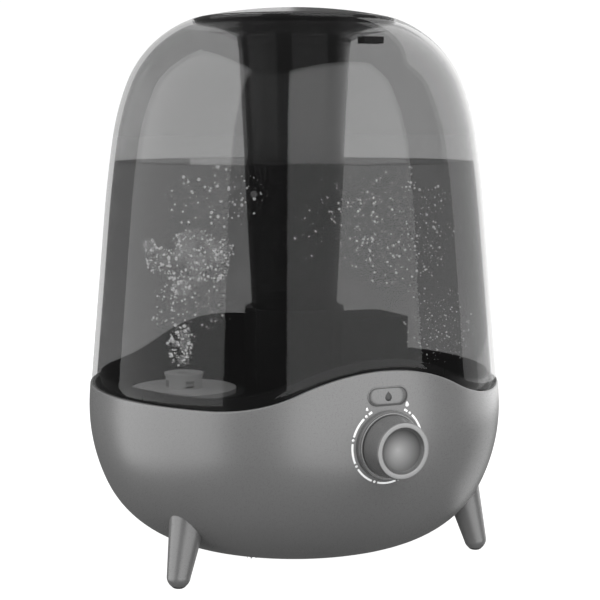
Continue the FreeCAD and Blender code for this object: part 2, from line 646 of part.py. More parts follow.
def air_duct():
    """Tapered duct from the fan up to the deck's air tower, as a loft inside a loft."""
    body = new_body("air_duct")
    for kind, inset in (("AdditiveLoft", 0), ("SubtractiveLoft", "duct_wall")):
        low = new_sketch(body, "XY_Plane", "fan_top_z")
        reach = "(fan_half - %s)" % inset
        draw_outline(low, box_corners("fan_x - " + reach, "-" + reach, "fan_x + " + reach, reach))
        high = new_sketch(body, "XY_Plane", "deck_top_z - deck_thick")
        draw_outline(high, tower_corners(inset))
        loft = body.newObject("PartDesign::" + kind, "air_duct_" + kind.lower())
        loft.Profile = low
        loft.Sections = [high]
        doc.recompute()
    keep("air_duct", body)


def driver_board():
    block("driver_board", "-board_half_x", "board_half_x", "board_near_y", "board_far_y",
          "board_z", "board_z + board_thick")
    top = "board_z + board_thick"
    sink = new_body("board_heatsink")
    pad_outline(sink, box_corners("-sink_far_x", "sink_near_y", "-sink_near_x", "sink_far_y"), top,
                "sink_plate")
    fin = pad_outline(sink, box_corners("-sink_far_x", "sink_near_y", "-sink_far_x + fin_thick",
                                        "sink_far_y"), top, "sink_height")
    row = sink.newObject("PartDesign::LinearPattern", "heatsink_fin_row")
    row.Originals = [fin]
    row.Direction = (axis_of(sink, "X_Axis"), [""])
    row.setExpression("Length", bound("heatsink_pitch * (heatsink_fins - 1)"))
    row.setExpression("Occurrences", bound("heatsink_fins"))
    sink.Tip = row
    keep("board_heatsink", sink)
    ring("board_capacitor", 0, "capacitor_radius", top, top + " + capacitor_height", "capacitor_x",
         "capacitor_y")
    block("board_transformer", "transformer_near_x", "transformer_far_x", "transformer_near_y",
          "transformer_far_y", top, top + " + transformer_height")
    stands = []
    screws = []
    for side in (-1, 1):
        for y, foot in (("standoff_near_y", "standoff_near_z"), ("standoff_far_y", "standoff_far_z")):
            x = "%d * standoff_x" % side
            stand = new_body("standoff_%d" % len(stands))
            revolve(stand, [("screw_radius", foot), ("standoff_radius", foot),
                            ("standoff_radius", "board_z"), ("screw_radius", "board_z")])
            stands.append(place(stand, x, y, 0))
            screws.append(screw("board_screw_%d" % len(screws), x, y, top, "board_z - 4", -1))
    keep("board_standoffs", group_of("board_standoffs", stands))
    keep("board_screws", group_of("board_screws", screws))
    NODES["driver_board"] = cut_by(NODES["driver_board"], NODES["board_screws"], "driver_board_cut")


def cord_gland():
    """Grommet in the back wall, where a mains lead would come out."""
    body = new_body("cord_gland")
    revolve(body, [("gland_bore", "gland_inner_y"), ("gland_flange", "gland_inner_y"),
                   ("gland_flange", "gland_seat_y"), ("gland_neck", "gland_seat_y"),
                   ("gland_neck", "gland_face_y"), ("gland_flange", "gland_face_y"),
                   ("gland_flange", "gland_outer_y"), ("gland_bore", "gland_outer_y")])
    place(body, 0, 0, "gland_z", axis=(1, 0, 0), angle=-90)
    keep("cord_gland", body)


# ---------------------------------------------------------------- knob

def knob_frame(thing):
    """Stand a turned piece on the bowl's front, with its axis pointing out of it."""
    return place(thing, 0, "-bowl_radius", "knob_z", axis=(1, 0, 0), angle=90)


def knob():
    body = new_body("knob")
    dish_radius = "knob_face_radius - knob_rim"
    revolve(body, [("knob_hollow_radius", "knob_foot"), ("knob_base_radius", "knob_foot"),
                   ("knob_face_radius", "knob_front - knob_round", "knob_round", -1),
                   ("knob_face_radius - knob_round", "knob_front"), (dish_radius, "knob_front", 0.8, 1),
                   (dish_radius + " - 0.8", "knob_front - 0.6", "knob_dish_arc", 1),
                   (0, "knob_front - knob_dish"), (0, "shaft_front"), ("shaft_radius", "shaft_front"),
                   ("shaft_radius", "knob_hollow"), ("knob_hollow_radius", "knob_hollow")])
    keep("knob", knob_frame(body))
    shaft = new_body("potentiometer_shaft")
    pad_circle(shaft, 0, 0, "shaft_radius", "shaft_back", "shaft_front - shaft_back")
    keep("potentiometer_shaft", knob_frame(shaft))


def knob_mount(form):
    bezel = new_body("knob_bezel_blank")
    revolve(bezel, [("bezel_bore", -4), ("bezel_radius", -4), ("bezel_radius", "bezel_front - 0.5", 0.5, -1),
                    ("bezel_radius - 0.5", "bezel_front"), ("bezel_bore", "bezel_front")])
    knob_frame(bezel)
    keep("knob_bezel", cut_by(bezel, form, "knob_bezel"))
    pot = new_body("potentiometer")
    pad_outline(pot, box_corners("-pot_half", "-pot_half", "pot_half", "pot_half"), "pot_back",
                "pot_front - pot_back")
    pad_circle(pot, 0, 0, "bush_radius", "pot_front - 1", "bush_front - pot_front + 1")
    cut_circle(pot, 0, 0, "shaft_radius + bush_clearance", "shaft_back - 0.5", "side_cut")
    keep("potentiometer", knob_frame(pot))
    nut = new_body("potentiometer_nut")
    sketch = new_sketch(nut, "XY_Plane", "nut_back")
    draw_outline(sketch, [("nut_radius * cos(%d)" % (60 * side), "nut_radius * sin(%d)" % (60 * side))
                          for side in range(6)])
    extrude(nut, "Pad", sketch, "nut_front - nut_back")
    cut_circle(nut, 0, 0, "bush_radius", "nut_back - 1", "bottom_cut")
    keep("potentiometer_nut", knob_frame(nut))


def badge(form):
    """Plain oval plate over the knob."""
    body = new_body("badge_blank")
    reach = "badge_length / 2 - badge_height / 2"
    low = "badge_z - badge_height / 2"
    high = "badge_z + badge_height / 2"
    end = "badge_height / 2 + 0.0001"
    pad_outline(body, [("-(%s)" % reach, low), (reach, low, end, -1), (reach, high),
                       ("-(%s)" % reach, high, end, -1)], "badge_front - 6", 6, "XZ_Plane")
    keep("badge", cut_by(body, form, "badge"))


# ---------------------------------------------------------------- tank

def inside(radius, z, lean):
    """Corner of the inner outline, one wall inside an outer corner whose surface leans that much."""
    return "%s - tank_wall * cos(%s)" % (radius, lean), "%s - tank_wall * sin(%s)" % (z, lean)


def tank_shell():
    body = new_body("tank_shell")
    foot = "rim_z - 4"
    foot_radius = "tank_radius + 4 * " + TANK_SLOPE
    rim_lean = "crown_rim_lean"
    crown = ["shoulder_radius - crown_arc * cos(shoulder_lean)",
             "shoulder_z - crown_arc * sin(shoulder_lean)"]
    inner_rim = (crown[0] + " + (crown_arc - tank_wall) * cos(%s)" % rim_lean,
                 crown[1] + " + (crown_arc - tank_wall) * sin(%s)" % rim_lean)
    inner = " - tank_wall"
    revolve(body, [(foot_radius, foot), ("wall_top_radius", "wall_top_z", "haunch_arc", -1),
                   ("haunch_radius", "haunch_z", "shoulder_arc", -1),
                   ("shoulder_radius", "shoulder_z", "crown_arc", -1),
                   ("crown_radius", "crown_z"), ("crown_radius", "recess_edge_z"),
                   ("recess_knee_radius", "recess_knee_z"),
                   ("recess_hole_radius", "recess_hole_z"),
                   ("recess_hole_radius", "recess_hole_z" + inner),
                   ("recess_knee_radius", "recess_knee_z" + inner),
                   (*inner_rim, "crown_arc" + inner, 1),
                   (*inside("shoulder_radius", "shoulder_z", "shoulder_lean"),
                    "shoulder_arc" + inner, 1),
                   (*inside("haunch_radius", "haunch_z", "haunch_lean"), "haunch_arc" + inner, 1),
                   inside("wall_top_radius", "wall_top_z", "wall_lean"),
                   (foot_radius + inner, foot)])
    cut_wave(body, "rim_gap", "rim_z - 40")
    keep("tank_shell", body)


def tank_pan():
    body = new_body("tank_pan")
    top = "wave_crest_z + pan_rim_lift + 2"
    slope = "(%s - rim_z) * %s" % (top, TANK_SLOPE)
    inner = "pan_radius - pan_wall"
    revolve(body, [(0, "deck_top_z"), ("pan_radius", "deck_top_z"), ("pan_radius", "rim_z"),
                   ("pan_radius - " + slope, top), (inner + " - " + slope, top), (inner, "rim_z"),
                   (inner, "deck_top_z + pan_floor"), (0, "deck_top_z + pan_floor")])
    cut_wave(body, "pan_rim_lift", 200)
    pad_circle(body, "-cap_offset", 0, "neck_lip_radius", "deck_top_z", "pan_floor + neck_lip")
    pad_circle(body, "-cap_offset", 0, "neck_radius", "neck_foot_z", "deck_top_z - neck_foot_z + 1")
    cut_circle(body, "-cap_offset", 0, "neck_bore", 0, "clear_cut")
    cut_outline(body, pocket_corners("pocket_wall"), "deck_top_z - 1", "pan_floor + 2")
    cut_circle(body, 0, 0, "pocket_radius - pocket_wall", "deck_top_z - 1", "pan_floor + 2")
    keep("tank_pan", body)


def pocket_corners(inset):
    """Outline of the long side of the mist housing, drawn in by an inset."""
    reach_y = "(pocket_box_half - (%s))" % inset
    return box_corners(0, "-" + reach_y, "pocket_box_x - (%s)" % inset, reach_y)


def mist_housing():
    """Round and square hood on the pan, over the splash guard and the air tower."""
    body = new_body("mist_housing")
    foot = "deck_top_z + pan_floor"
    inner_foot = foot + " - 1"
    pad_outline(body, pocket_corners(0), foot, "pocket_box_top_z - (%s)" % foot)
    pad_circle(body, 0, 0, "pocket_radius", foot, "pocket_top_z - (%s)" % foot)
    pad_circle(body, 0, 0, "spigot_radius", foot, "pocket_top_z + spigot_height - (%s)" % foot)
    cut_outline(body, pocket_corners("pocket_wall"), inner_foot,
                "pocket_box_top_z - pocket_wall - (%s)" % inner_foot)
    cut_circle(body, 0, 0, "pocket_radius - pocket_wall", inner_foot,
               "pocket_top_z - pocket_wall - (%s)" % inner_foot)
    cut_circle(body, 0, 0, "spigot_bore", 0, "clear_cut")
    keep("mist_housing", body)


def chimney_tube():
    body = new_body("chimney_tube")
    wall = " - chimney_wall"
    revolve(body, [("chimney_foot_radius" + wall, "pocket_top_z"),
                   ("chimney_foot_radius", "pocket_top_z"), ("chimney_head_radius", "chimney_head_z"),
                   ("chimney_collar_radius", "chimney_head_z + 1"),
                   ("chimney_collar_radius", "recess_hole_z"),
                   ("chimney_collar_radius" + wall, "recess_hole_z"),
                   ("chimney_collar_radius" + wall, "chimney_head_z + 1"),
                   ("chimney_head_radius" + wall, "chimney_head_z")])
    keep("chimney_tube", body)
    block("cover_catch", "catch_near_x", "catch_far_x", "-catch_half", "catch_half",
          "catch_foot_z", "recess_knee_z - tank_wall - 0.3")


def tank_cap():
    body = new_body("tank_cap")
    face = "cap_face_z"
    skirt = "cap_radius - cap_skirt_wall"
    lip_foot = "nozzle_top_z - nozzle_lip"
    revolve(body, [("cap_radius", "cap_flange_z"), ("cap_radius", face), ("nozzle_radius", face),
                   ("nozzle_radius", lip_foot), ("nozzle_lip_radius", lip_foot),
                   ("nozzle_lip_radius", "nozzle_top_z"), ("nozzle_outlet", "nozzle_top_z"),
                   ("nozzle_outlet", lip_foot), ("nozzle_bore", lip_foot), ("nozzle_bore", "seat_z"),
                   ("seat_bore", "seat_z"), ("seat_bore", "seat_foot_z"),
                   ("nozzle_radius", "seat_foot_z"), ("nozzle_radius", face + " - cap_plate"),
                   (skirt, face + " - cap_plate"), (skirt, "cap_flange_foot_z"),
                   ("cap_flange_radius", "cap_flange_foot_z"), ("cap_flange_radius", "cap_flange_z")])
    inlet = cut_outline(body, box_corners(6, -2.5, 9.8, 2.5), face + " + 0.6", 4)
    repeat_round(body, inlet, 4)
    place(body, "-cap_offset", 0, 0)
    keep("tank_cap", body)
    ring("cap_gasket", "cap_radius", "cap_flange_radius - 0.4", "cap_flange_z", "neck_foot_z",
         "-cap_offset", 0)


def valve():
    body = new_body("valve_plunger")
    plate = "seat_z + 1.4 + plunger_lift"
    foot = "valve_post_z + 0.05"
    revolve(body, [(0, foot), ("stem_radius", foot), ("stem_radius", plate),
                   ("plunger_radius", plate), ("plunger_radius", plate + " + plunger_plate"),
                   (0, plate + " + plunger_plate")])
    place(body, "-cap_offset", 0, 0)
    keep("valve_plunger", body)
    ring("valve_seal", "stem_radius", "plunger_radius - 0.4", "seat_z + plunger_lift", plate,
         "-cap_offset", 0)
    length = size("nozzle_top_z - nozzle_lip") - size(plate + " + plunger_plate")
    wire = size("spring_wire")
    coil = Part.makeHelix((length - wire) / size("spring_turns"), length - wire, size("spring_radius"))
    start = FreeCAD.Vector(size("spring_radius"), 0, 0)
    section = Part.Wire(Part.Circle(start, FreeCAD.Vector(0, 1, 0), wire / 2).toShape())
    spring = doc.addObject("Part::Feature", "valve_spring")
    spring.Shape = Part.Wire(coil).makePipeShell([section], True, True)
    place(spring, "-cap_offset", 0, "(%s) + plunger_plate + spring_wire / 2" % plate)
    keep("valve_spring", spring)


def mist_cover():
    body = new_body("mist_cover")
    skin = " - cover_skin"
    revolve(body, [("outlet_radius", "outlet_lip_foot_z"), ("outlet_radius + 2", "outlet_lip_foot_z"),
                   ("outlet_radius + 2", "cover_crown_z - 0.4" + skin, "cover_arc - cover_skin", 1),
                   ("cover_radius - 1", "cover_edge_z - 0.6"), ("cover_radius", "cover_edge_z - 0.6"),
                   ("cover_radius", "cover_edge_z", "cover_arc", -1),
                   ("outlet_radius + 1", "cover_crown_z", 1, -1), ("outlet_radius", "cover_crown_z - 1")])
    keep("mist_cover", body)
    funnel = new_body("mist_funnel")
    lift = " + 0.6"
    wall = " + funnel_wall"
    knee = ("recess_knee_radius", "recess_knee_z" + lift)
    throat = ("funnel_throat_radius", "recess_hole_z" + lift)
    revolve(funnel, [("funnel_foot_radius - funnel_wall", "funnel_foot_z"),
                     ("funnel_foot_radius", "funnel_foot_z"), throat, knee,
                     ("funnel_radius", "recess_edge_z" + lift),
                     ("funnel_radius", "cover_edge_z - 0.6"),
                     ("funnel_radius - 1", "cover_edge_z - 0.6"),
                     (knee[0] + " - 1", knee[1] + wall),
                     (throat[0] + " - funnel_wall", throat[1] + wall)])
    keep("mist_funnel", funnel)


LEG_ANGLES = {"leg_front_left": -60, "leg_front_right": 60, "leg_rear": 180}


def build():
    form = bowl_form()
    base_shell()
    trim = leg_trim(form)
    for node, angle in LEG_ANGLES.items():
        leg(node, angle, trim)
        foot_pad(node.replace("leg", "foot_pad"), angle)
    leg_screws()
    bottom_cover()
    base_deck()
    air_tower()
    splash_guard()
    transducer()
    water_float()
    fan()
    air_duct()
    driver_board()
    cord_gland()
    knob()
    knob_mount(form)
    badge(form)
    tank_shell()
    tank_pan()
    mist_housing()
    chimney_tube()
    tank_cap()
    valve()
    mist_cover()
    doc.recompute()


def write_parts():
    for thing in doc.Objects:
        if "Invalid" in thing.State or "Error" in thing.State:
            raise RuntimeError("%s failed: %s" % (thing.Name, thing.State))
    for node, thing in NODES.items():
        if thing.Shape.isNull() or not thing.Shape.isValid() or not thing.Shape.Solids:
            raise RuntimeError("%s has no sound solid" % node)
    os.makedirs("parts", exist_ok=True)
    for node, thing in NODES.items():
        thing.Shape.exportStep("parts/%s.step" % node)
        print("%-22s %d solid(s) %10.1f mm3" % (node, len(thing.Shape.Solids), thing.Shape.Volume))


build()
write_parts()
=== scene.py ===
import math
import random

import bmesh
import bpy
from mathutils import Matrix, Vector


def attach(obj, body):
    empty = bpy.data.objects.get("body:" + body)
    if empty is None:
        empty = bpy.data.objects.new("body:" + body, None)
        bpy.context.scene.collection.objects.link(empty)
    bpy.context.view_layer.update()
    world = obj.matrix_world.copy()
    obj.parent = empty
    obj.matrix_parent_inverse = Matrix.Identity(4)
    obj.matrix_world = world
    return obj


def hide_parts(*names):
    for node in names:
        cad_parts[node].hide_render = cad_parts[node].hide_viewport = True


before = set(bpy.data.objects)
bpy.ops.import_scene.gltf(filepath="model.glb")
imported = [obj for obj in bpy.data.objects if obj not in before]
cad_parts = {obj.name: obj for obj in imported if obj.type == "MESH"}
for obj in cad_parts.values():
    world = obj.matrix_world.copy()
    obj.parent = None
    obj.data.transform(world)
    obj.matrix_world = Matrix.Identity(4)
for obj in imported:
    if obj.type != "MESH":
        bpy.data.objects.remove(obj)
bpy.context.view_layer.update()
MM = 0.001

# ------------------------------------------------------------------ sizes, in millimetres

BOWL_WALL = 2.8
BOWL_BOTTOM = 9.0
HATCH_RADIUS = 44.0
RIM_Z = 93.5
WAVE_FOOT_Z = 95.0
WAVE_RISE = 19.5
WAVE_HALF = 82.0
WAVE_CREST_ARC = 99.0
WAVE_VALLEY_ARC = 83.16
PAN_LIFT = 5.0
WAVE_READ_RADIUS = 111.3
TANK_WALL = 2.6
TANK_GAP = 0.4
KNOB_Z = 78.0
BOWL_RADIUS = 112.7
BADGE_Z = 102.3
WATER_Z = 214.5
PAN_RADIUS = 104.2
PAN_LEAN = 0.09
CHIMNEY_FOOT = (23.1, 135.0)
CHIMNEY_HEAD = (30.0, 275.0)
CHIMNEY_COLLAR = (30.6, 281.4)
CHIMNEY_WALL = 2.0
KNOB_FRONT = 15.0
SCALE_RADIUS = 19.2
SCALE_DOTS = 8
SCALE_FIRST = 38.5
BADGE_LENGTH = 22.0
BADGE_HEIGHT = 9.4
TURNS = 256


# ------------------------------------------------------------------ outlines

def arc(start, end, radius, side, steps=14):
    """Points from start up to, not including, end, on an arc that bulges left (+1) or right (-1)."""
    first, last = Vector(start), Vector(end)
    chord = last - first
    left = Vector((-chord.y, chord.x)).normalized()
    centre = (first + last) / 2 - left * math.sqrt(radius ** 2 - (chord.length / 2) ** 2) * side
    begin = math.atan2(first.y - centre.y, first.x - centre.x)
    sweep = 2 * math.asin(chord.length / 2 / radius) * -side
    return [(centre.x + radius * math.cos(begin + sweep * step / steps),
             centre.y + radius * math.sin(begin + sweep * step / steps)) for step in range(steps)]


def line(start, end, steps):
    return [(start[0] + (end[0] - start[0]) * step / steps,
             start[1] + (end[1] - start[1]) * step / steps) for step in range(steps)]


def offset(points, wall):
    """The same open outline, one wall to the left of the way it runs."""
    moved = []
    for number, point in enumerate(points):
        before = Vector(points[max(number - 1, 0)])
        after = Vector(points[min(number + 1, len(points) - 1)])
        along = (after - before).normalized()
        moved.append((point[0] - along.y * wall, point[1] + along.x * wall))
    return moved


def radius_at(outline, height):
    """Radius of a rising outline at a height."""
    for (r0, z0), (r1, z1) in zip(outline, outline[1:]):
        if z0 <= height <= z1 and z1 > z0:
            return r0 + (r1 - r0) * (height - z0) / (z1 - z0)
    return outline[-1][0] if height > outline[-1][1] else outline[0][0]


def wave(x):
    """Height of the rim over its low level, by the distance to the left or right of the axis."""
    x = abs(x)
    total = WAVE_CREST_ARC + WAVE_VALLEY_ARC
    if x >= WAVE_HALF:
        return 0.0
    if x > WAVE_HALF * WAVE_CREST_ARC / total:
        return WAVE_VALLEY_ARC - math.sqrt(WAVE_VALLEY_ARC ** 2 - (WAVE_HALF - x) ** 2)
    return WAVE_RISE - WAVE_CREST_ARC + math.sqrt(WAVE_CREST_ARC ** 2 - x ** 2)


def rim_height(turn):
    """Height of the base's rim at a turn angle round the axis."""
    return WAVE_FOOT_Z + wave(WAVE_READ_RADIUS * math.sin(turn))


BOWL_SIDE = (arc((53.1, BOWL_BOTTOM), (103.7, 41.0), 55.9, -1, 20)
             + arc((103.7, 41.0), (BOWL_RADIUS, 81.6), 94.9, -1, 14)
             + arc((BOWL_RADIUS, 81.6), (112.1, RIM_Z), 138.0, -1, 6)
             + [(112.1, RIM_Z), (109.7, 120.0)])
TANK_SIDE = (line((111.86, 89.5), (103.3, 185.0), 12)
             + arc((103.3, 185.0), (98.4, 225.7), 692.0, -1, 8)
             + arc((98.4, 225.7), (90.6, 255.5), 143.7, -1, 10)
             + arc((90.6, 255.5), (54.8, 290.3), 59.2, -1, 26)
             + [(54.8, 290.3)])


# ------------------------------------------------------------------ mesh building

def new_object(name, mesh_tool, smooth=True):
    mesh = bpy.data.meshes.new(name)
    bmesh.ops.recalc_face_normals(mesh_tool, faces=mesh_tool.faces[:])
    mesh_tool.to_mesh(mesh)
    mesh_tool.free()
    for face in mesh.polygons:
        face.use_smooth = smooth
    thing = bpy.data.objects.new(name, mesh)
    bpy.context.scene.collection.objects.link(thing)
    return thing


def lathe(name, rows, turns=TURNS, closed=True, place=Matrix()):
    """A turned piece. A row is (radius, height), or a function of the turn angle that gives them.
    The turn angle runs from the front, -Y, towards +X."""
    tool = bmesh.new()
    rings = []
    for row in rows:
        ring = []
        for step in range(turns):
            turn = 2 * math.pi * step / turns
            radius, height = row(turn) if callable(row) else row
            if radius < 1e-6 and ring:
                ring.append(ring[0])
                continue
            spot = Vector((radius * math.sin(turn), -radius * math.cos(turn), height)) * MM
            ring.append(tool.verts.new(place @ spot))
        rings.append(ring)
    pairs = list(zip(rings, rings[1:])) + ([(rings[-1], rings[0])] if closed else [])
    for lower, upper in pairs:
        for step in range(turns):
            after = (step + 1) % turns
            corners = []
            for corner in (lower[step], lower[after], upper[after], upper[step]):
                if corner not in corners:
                    corners.append(corner)
            if len(corners) > 2:
                tool.faces.new(corners)
    return new_object(name, tool)


def round_corners(points, radius, steps=4, closed=True):
    """An outline of straight runs with its corners rounded."""
    rounded = []
    count = len(points)
    for number, point in enumerate(points):
        if not closed and number in (0, count - 1):
            rounded.append(point)
            continue
        corner = Vector(point)
        back = Vector(points[number - 1]) - corner
        ahead = Vector(points[(number + 1) % count]) - corner
        reach = min(radius, back.length / 2.2, ahead.length / 2.2)
        first = corner + back.normalized() * reach
        last = corner + ahead.normalized() * reach
        for step in range(steps + 1):
            part = step / steps
            spot = first * (1 - part) ** 2 + corner * 2 * part * (1 - part) + last * part ** 2
            rounded.append((spot.x, spot.y))
    return rounded


# ------------------------------------------------------------------ materials

def shader(name):
    """A new material with a Principled shader; returns it with its node tree and the shader."""
    material = bpy.data.materials.new(name)
    material.use_nodes = True
    tree = material.node_tree
    return material, tree, tree.nodes["Principled BSDF"]


def noise(tree, scale, detail=4.0, stretch=(1, 1, 1), roughness=0.55):
    """Noise in the object's own coordinates; scale is per metre."""
    where = tree.nodes.new("ShaderNodeTexCoord")
    mapping = tree.nodes.new("ShaderNodeMapping")
    mapping.inputs["Scale"].default_value = stretch
    texture = tree.nodes.new("ShaderNodeTexNoise")
    texture.inputs["Scale"].default_value = scale
    texture.inputs["Detail"].default_value = detail
    texture.inputs["Roughness"].default_value = roughness
    tree.links.new(where.outputs["Object"], mapping.inputs["Vector"])
    tree.links.new(mapping.outputs["Vector"], texture.inputs["Vector"])
    return texture.outputs["Fac"]


def spread(tree, value, low, high):
    """Map a noise value onto a range."""
    span = tree.nodes.new("ShaderNodeMapRange")
    span.inputs["From Min"].default_value = 0.3
    span.inputs["From Max"].default_value = 0.7
    span.inputs["To Min"].default_value = low
    span.inputs["To Max"].default_value = high
    tree.links.new(value, span.inputs["Value"])
    return span.outputs["Result"]


def tint(tree, value, dark, light):
    """Mix two greys or colours by a noise value."""
    mix = tree.nodes.new("ShaderNodeMix")
    mix.data_type = "RGBA"
    mix.inputs["A"].default_value = (*dark, 1)
    mix.inputs["B"].default_value = (*light, 1)
    tree.links.new(value, mix.inputs["Factor"])
    return mix.outputs["Result"]


def bump(tree, value, strength, distance):
    node = tree.nodes.new("ShaderNodeBump")
    node.inputs["Strength"].default_value = strength
    node.inputs["Distance"].default_value = distance
    tree.links.new(value, node.inputs["Height"])
    return node.outputs["Normal"]


def moulded(name, colour, rough, grain=1400.0, relief=0.15, alpha=1.0, ior=1.5, metallic=0.0,
            spread_rough=0.05, spread_colour=0.06, stretch=(1, 1, 1), painted_glow=0.0):
    """Moulded or machined surface: uneven colour and gloss over broad patches, and a fine grain."""
    material, tree, surface = shader(name)
    broad = noise(tree, 14.0, 2.0)
    fine = noise(tree, grain, 3.0, stretch)
    dark = [channel * (1 - spread_colour) for channel in colour]
    light = [min(channel * (1 + spread_colour), 1) for channel in colour]
    tree.links.new(tint(tree, spread(tree, broad, 0, 1), dark, light), surface.inputs["Base Color"])
    tree.links.new(spread(tree, fine, max(rough - spread_rough, 0.02), rough + spread_rough),
                   surface.inputs["Roughness"])
    tree.links.new(bump(tree, fine, relief, 0.0002), surface.inputs["Normal"])
    surface.inputs["Metallic"].default_value = metallic
    surface.inputs["IOR"].default_value = ior
    surface.inputs["Alpha"].default_value = alpha
    # Emission paints light onto a surface that is no lamp: a painted glow.
    surface.inputs["Emission Color"].default_value = (1, 1, 1, 1)
    surface.inputs["Emission Strength"].default_value = painted_glow
    return material


def grey(level):
    return (level, level, level)


SHELL = moulded("satin_grey_plastic", grey(0.106), 0.3, 2600.0, 0.06, ior=1.62)
KNOB = moulded("knob_grey_plastic", grey(0.17), 0.26, 2600.0, 0.05, ior=1.6)
# Lit and shaded copies of the one knob plastic: the lighter is a painted highlight on the front ring
# and the bezel's thin ring, the darker is painted shade on the knob's sides, back, dish lip and
# bezel.
KNOB_LIT = moulded("knob_painted_highlight_plastic", grey(0.19), 0.3, 2600.0, 0.05, ior=1.6)
KNOB_SHADED = moulded("knob_painted_shade_plastic", grey(0.075), 0.3, 2600.0, 0.06)
TANK = moulded("smoke_clear_plastic", grey(0.004), 0.05, 30.0, 0.02, alpha=0.335, ior=1.56,
               spread_rough=0.015)
TANK_DRY = moulded("dry_smoke_plastic", grey(0.004), 0.05, 30.0, 0.02, alpha=0.335, ior=2.0,
                   spread_rough=0.015)
TANK_WET = moulded("wetted_smoke_plastic", grey(0.004), 0.05, 30.0, 0.02, alpha=0.335, ior=1.06,
                   spread_rough=0.015)
CHIMNEY = moulded("chimney_smoke_plastic", grey(0.004), 0.08, 30.0, 0.02, alpha=0.56, ior=1.4,
                  spread_rough=0.015)
FUNNEL = moulded("funnel_smoke_plastic", grey(0.004), 0.12, 30.0, 0.02, alpha=0.6, ior=1.4,
                 spread_rough=0.015)
GLOSS_BLACK = moulded("gloss_black_plastic", grey(0.011), 0.2, 900.0, 0.03, ior=1.3)
COVER = moulded("mist_cover_black_plastic", grey(0.02), 0.22, 900.0, 0.03)
MATT_BLACK = moulded("matt_black_plastic", grey(0.03), 0.5, 1800.0, 0.2)
CAP = moulded("cap_pale_plastic", grey(0.85), 0.4, 1600.0, 0.1)
RUBBER = moulded("black_rubber", grey(0.02), 0.7, 2600.0, 0.3)
STEEL = moulded("turned_steel", grey(0.62), 0.28, 900.0, 0.1, metallic=1.0, stretch=(1, 1, 8))
ALUMINIUM = moulded("extruded_aluminium", grey(0.75), 0.35, 700.0, 0.12, metallic=1.0,
                    stretch=(1, 12, 1))
BRASS = moulded("turned_brass", (0.72, 0.50, 0.20), 0.3, 900.0, 0.1, metallic=1.0, stretch=(1, 1, 8))
BOARD = moulded("green_board", (0.02, 0.13, 0.05), 0.35, 1200.0, 0.1, spread_colour=0.3)
FOAM = moulded("filter_foam", grey(0.05), 0.9, 900.0, 0.9, spread_colour=0.5)
PRINT = moulded("white_print", grey(0.85), 0.45, 2000.0, 0.05)
WATER = moulded("water", grey(0.004), 0.03, 60.0, 0.02, alpha=0.36, ior=1.03, spread_rough=0.01)
WATER_TOP = moulded("water_surface", grey(0.004), 0.03, 60.0, 0.05, alpha=0.6, ior=1.2,
                    spread_rough=0.01)
# Both bubble materials glow though they are no lamp: painted glints that stand in for the light the
# bubbles catch.
BUBBLE = moulded("bubbles", grey(0.9), 0.12, 900.0, 0.05, alpha=0.85, ior=1.8, painted_glow=0.5)
FILM = moulded("bubble_film", grey(0.8), 0.08, 300.0, 0.3, alpha=0.3, ior=2.4, painted_glow=0.12)


def painted_dish_shade(name, middle, edge, reach):
    """Knob plastic with painted shade and highlight: lighter in the middle of the finger dish and
    darker towards its edge, for the light and shade of the concave dish.
    """
    material = moulded(name, middle, 0.34, 2600.0, 0.05, ior=1.35)
    tree = material.node_tree
    surface = next(node for node in tree.nodes if node.type == "BSDF_PRINCIPLED")
    even = surface.inputs["Base Color"].links[0].from_socket
    place = tree.nodes.new("ShaderNodeTexCoord")
    centred = tree.nodes.new("ShaderNodeMapping")
    centred.inputs["Scale"].default_value = (1 / (reach * MM), 0, 1 / (reach * MM))
    centred.inputs["Location"].default_value = (0.12, 0, -KNOB_Z / reach)
    shade_falloff = tree.nodes.new("ShaderNodeTexGradient")
    shade_falloff.gradient_type = "SPHERICAL"
    tree.links.new(place.outputs["Object"], centred.inputs["Vector"])
    tree.links.new(centred.outputs["Vector"], shade_falloff.inputs["Vector"])
    mix = tree.nodes.new("ShaderNodeMix")
    mix.data_type = "RGBA"
    mix.inputs["A"].default_value = (*edge, 1)
    tree.links.new(even, mix.inputs["B"])
    tree.links.new(shade_falloff.outputs["Fac"], mix.inputs["Factor"])
    tree.links.new(mix.outputs["Result"], surface.inputs["Base Color"])
    return material


# Painted shade: the dish is light in its middle and dark at its edge.
KNOB_DISH_SHADE = painted_dish_shade("knob_dish_painted_shade", grey(0.26), grey(0.04), 11.0)

NODE_MATERIALS = {
    SHELL: ("leg_front_left", "leg_front_right", "leg_rear"),
    # The bezel takes the darker copy of the knob plastic as painted shade.
    KNOB_SHADED: ("knob_bezel",),
    RUBBER: ("transducer_gasket", "cord_gland", "cap_gasket", "valve_seal"),
    STEEL: ("leg_screws", "cover_screws", "deck_screws", "transducer_screws", "fan_screws",
            "board_screws", "potentiometer_nut", "potentiometer_shaft", "valve_spring",
            "transducer_disc", "transducer_clamp"),
    MATT_BLACK: ("bottom_cover", "float_sensor", "fan_frame", "fan_impeller", "board_capacitor",
                 "board_transformer", "potentiometer"),
    GLOSS_BLACK: ("base_deck", "air_tower", "splash_guard", "tank_pan", "mist_housing",
                  "cover_catch", "air_duct"),
    FOAM: ("intake_filter",),
    CAP: ("tank_cap", "valve_plunger", "float_ring", "float_clip"),
    BOARD: ("driver_board",),
    ALUMINIUM: ("board_heatsink",),
    BRASS: ("board_standoffs",),
    FUNNEL: ("mist_funnel",),
}


def dress_nodes():
    """Give each CAD node that stays in view its material."""
    for material, nodes in NODE_MATERIALS.items():
        for node in nodes:
            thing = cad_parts[node]
            thing.data.materials.clear()
            thing.data.materials.append(material)


def dress(thing, material, body, slot, *nodes):
    """Give a piece its material and body, and hide the CAD nodes that it replaces. The slot is not
    used.
    """
    thing.data.materials.append(material)
    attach(thing, body)
    if nodes:
        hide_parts(*nodes)
    return thing


# ------------------------------------------------------------------ base

